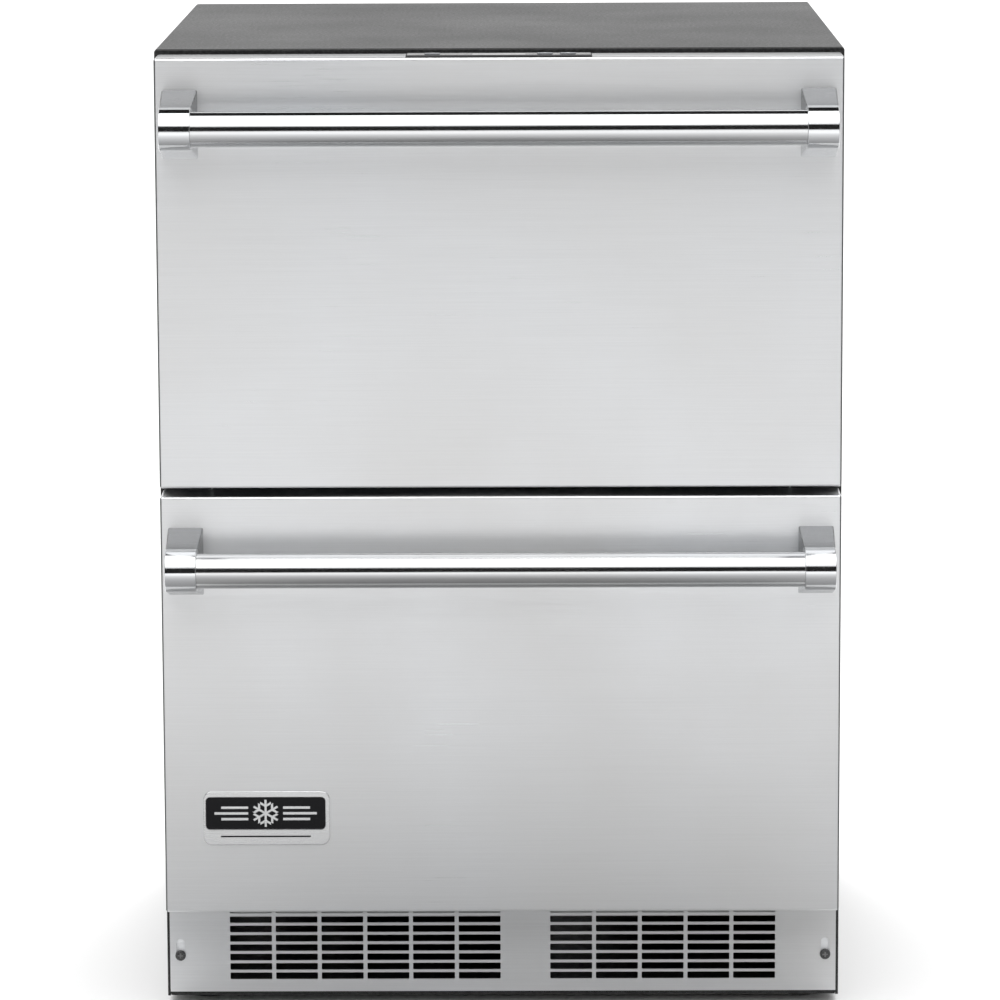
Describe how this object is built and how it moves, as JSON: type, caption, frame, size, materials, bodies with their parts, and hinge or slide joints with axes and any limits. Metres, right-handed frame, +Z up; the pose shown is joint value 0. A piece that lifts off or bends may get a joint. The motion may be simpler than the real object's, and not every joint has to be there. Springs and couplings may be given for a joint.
{
  "type": "under counter fridge",
  "caption": "Built-in undercounter refrigerator with stainless drawer fronts, tubular handles, a slotted kick plate and a working cold and machine side.",
  "frame": {"origin": "on the floor, at the middle of the footprint of the whole object with its handles", "axes": "+Z up, -Y towards the front where the drawers open, +X to the right seen from the front"},
  "size_m": [0.606, 0.6744, 0.864],
  "materials": {
    "stainless": "satin",
    "handle_steel": "polished",
    "bracket_chrome": "polished",
    "black_paint": "satin",
    "galvanised": "satin",
    "foam": "matte",
    "liner_plastic": "satin",
    "bin_plastic": "satin",
    "black_plastic": "matte",
    "strip_gloss": "gloss",
    "key_plastic": "satin",
    "display_glass": "gloss",
    "light_diffuser": "satin",
    "gasket_vinyl": "matte",
    "rubber": "matte",
    "slide_steel": "satin",
    "screw_steel": "satin",
    "compressor_paint": "gloss",
    "coil_fins": "satin",
    "motor_plastic": "satin",
    "fan_metal": "satin",
    "copper": "satin",
    "badge_metal": "satin"
  },
  "bodies": {
    "cabinet": {"base_pan": "galvanised", "base_rail": "black_paint", "cabinet_wrapper": "black_paint", "centre_mullion": "black_plastic", "compartment_deck": "galvanised", "compressor": "compressor_paint", "compressor_grommets": "rubber", "condenser_coil": "coil_fins", "condenser_fan_motor": "motor_plastic", "condenser_shroud": "galvanised", "cord_gland": "black_plastic", "drain_pan": "black_plastic", "evaporator": "coil_fins", "evaporator_cover": "liner_plastic", "evaporator_fan_motor": "motor_plastic", "foam_insulation": "foam", "front_frame": "black_plastic", "grille_screws": "screw_steel", "inner_liner": "liner_plastic", "led_light": "light_diffuser", "lower_outer_slides": "slide_steel", "rear_grille": "black_paint", "rear_panel": "galvanised", "refrigerant_tubes": "copper", "upper_outer_slides": "slide_steel"},
    "upper_drawer": {"upper_front_skin": "stainless", "upper_front_foam": "foam", "upper_front_liner": "liner_plastic", "upper_gasket": "gasket_vinyl", "upper_handle_bar": "handle_steel", "upper_handle_brackets": "bracket_chrome", "upper_bin": "bin_plastic", "upper_inner_slides": "slide_steel", "control_strip": "strip_gloss", "display_window": "display_glass"},
    "lower_drawer": {"lower_front_skin": "stainless", "lower_front_foam": "foam", "lower_front_liner": "liner_plastic", "lower_gasket": "gasket_vinyl", "lower_handle_bar": "handle_steel", "lower_handle_brackets": "bracket_chrome", "lower_bin": "bin_plastic", "lower_inner_slides": "slide_steel", "badge": "badge_metal"},
    "upper_middle": {"upper_middle_slides": "slide_steel"},
    "lower_middle": {"lower_middle_slides": "slide_steel"},
    "toe_grille": {"toe_grille": "stainless"},
    "condenser_fan": {"condenser_fan_blade": "fan_metal"},
    "evaporator_fan": {"evaporator_fan_blade": "motor_plastic"},
    "power_key": {"button_power": "key_plastic"},
    "down_key": {"button_down": "key_plastic"},
    "up_key": {"button_up": "key_plastic"},
    "foot_front_left": {"foot_pad_front_left": "black_plastic"},
    "stud_front_left": {"leveling_stud_front_left": "screw_steel"},
    "foot_front_right": {"foot_pad_front_right": "black_plastic"},
    "stud_front_right": {"leveling_stud_front_right": "screw_steel"},
    "foot_rear_left": {"foot_pad_rear_left": "black_plastic"},
    "stud_rear_left": {"leveling_stud_rear_left": "screw_steel"},
    "foot_rear_right": {"foot_pad_rear_right": "black_plastic"},
    "stud_rear_right": {"leveling_stud_rear_right": "screw_steel"}
  },
  "joints": [
    {"name": "upper_drawer_slide", "type": "slide", "parent": "cabinet", "child": "upper_drawer", "axis": [0, -1, 0], "range_m": [0, 0.4]},
    {"name": "upper_middle_slide", "type": "slide", "parent": "cabinet", "child": "upper_middle", "axis": [0, -1, 0], "range_m": [0, 0.2]},
    {"name": "lower_drawer_slide", "type": "slide", "parent": "cabinet", "child": "lower_drawer", "axis": [0, -1, 0], "range_m": [0, 0.4]},
    {"name": "lower_middle_slide", "type": "slide", "parent": "cabinet", "child": "lower_middle", "axis": [0, -1, 0], "range_m": [0, 0.2]},
    {"name": "toe_grille_drop", "type": "slide", "parent": "cabinet", "child": "toe_grille", "axis": [0, 0, -1], "range_m": [0, 0.011]},
    {"name": "condenser_fan_spin", "type": "hinge", "parent": "cabinet", "child": "condenser_fan", "pos_m": [-0.138, 0.23825, 0.106], "axis": [1, 0, 0], "continuous": true},
    {"name": "evaporator_fan_spin", "type": "hinge", "parent": "cabinet", "child": "evaporator_fan", "pos_m": [0, 0.24, 0.4], "axis": [0, 1, 0], "continuous": true},
    {"name": "power_press", "type": "slide", "parent": "upper_drawer", "child": "power_key", "axis": [0, 0, -1], "range_m": [0, 0.0008], "stiffness_N_per_m": 2000},
    {"name": "down_press", "type": "slide", "parent": "upper_drawer", "child": "down_key", "axis": [0, 0, -1], "range_m": [0, 0.0008], "stiffness_N_per_m": 2000},
    {"name": "up_press", "type": "slide", "parent": "upper_drawer", "child": "up_key", "axis": [0, 0, -1], "range_m": [0, 0.0008], "stiffness_N_per_m": 2000},
    {"name": "foot_front_left_extend", "type": "slide", "parent": "cabinet", "child": "foot_front_left", "axis": [0, 0, -1], "range_m": [0, 0.024]},
    {"name": "stud_front_left_turn", "type": "hinge", "parent": "foot_front_left", "child": "stud_front_left", "pos_m": [-0.27, -0.17775, 0.02], "axis": [0, 0, -1], "range_deg": [0, 5765]},
    {"name": "foot_front_right_extend", "type": "slide", "parent": "cabinet", "child": "foot_front_right", "axis": [0, 0, -1], "range_m": [0, 0.024]},
    {"name": "stud_front_right_turn", "type": "hinge", "parent": "foot_front_right", "child": "stud_front_right", "pos_m": [0.27, -0.17775, 0.02], "axis": [0, 0, -1], "range_deg": [0, 5765]},
    {"name": "foot_rear_left_extend", "type": "slide", "parent": "cabinet", "child": "foot_rear_left", "axis": [0, 0, -1], "range_m": [0, 0.024]},
    {"name": "stud_rear_left_turn", "type": "hinge", "parent": "foot_rear_left", "child": "stud_rear_left", "pos_m": [-0.27, 0.29725, 0.02], "axis": [0, 0, -1], "range_deg": [0, 5765]},
    {"name": "foot_rear_right_extend", "type": "slide", "parent": "cabinet", "child": "foot_rear_right", "axis": [0, 0, -1], "range_m": [0, 0.024]},
    {"name": "stud_rear_right_turn", "type": "hinge", "parent": "foot_rear_right", "child": "stud_rear_right", "pos_m": [0.27, 0.29725, 0.02], "axis": [0, 0, -1], "range_deg": [0, 5765]}
  ],
  "couplings": [
    {"joint": "upper_middle_slide", "follows": "upper_drawer_slide", "ratio": 0.5},
    {"joint": "lower_middle_slide", "follows": "lower_drawer_slide", "ratio": 0.5},
    {"joint": "stud_front_left_turn", "follows": "foot_front_left_extend", "rad_per_m": 4188.8},
    {"joint": "stud_front_right_turn", "follows": "foot_front_right_extend", "rad_per_m": 4188.8},
    {"joint": "stud_rear_left_turn", "follows": "foot_rear_left_extend", "rad_per_m": 4188.8},
    {"joint": "stud_rear_right_turn", "follows": "foot_rear_right_extend", "rad_per_m": 4188.8}
  ]
}
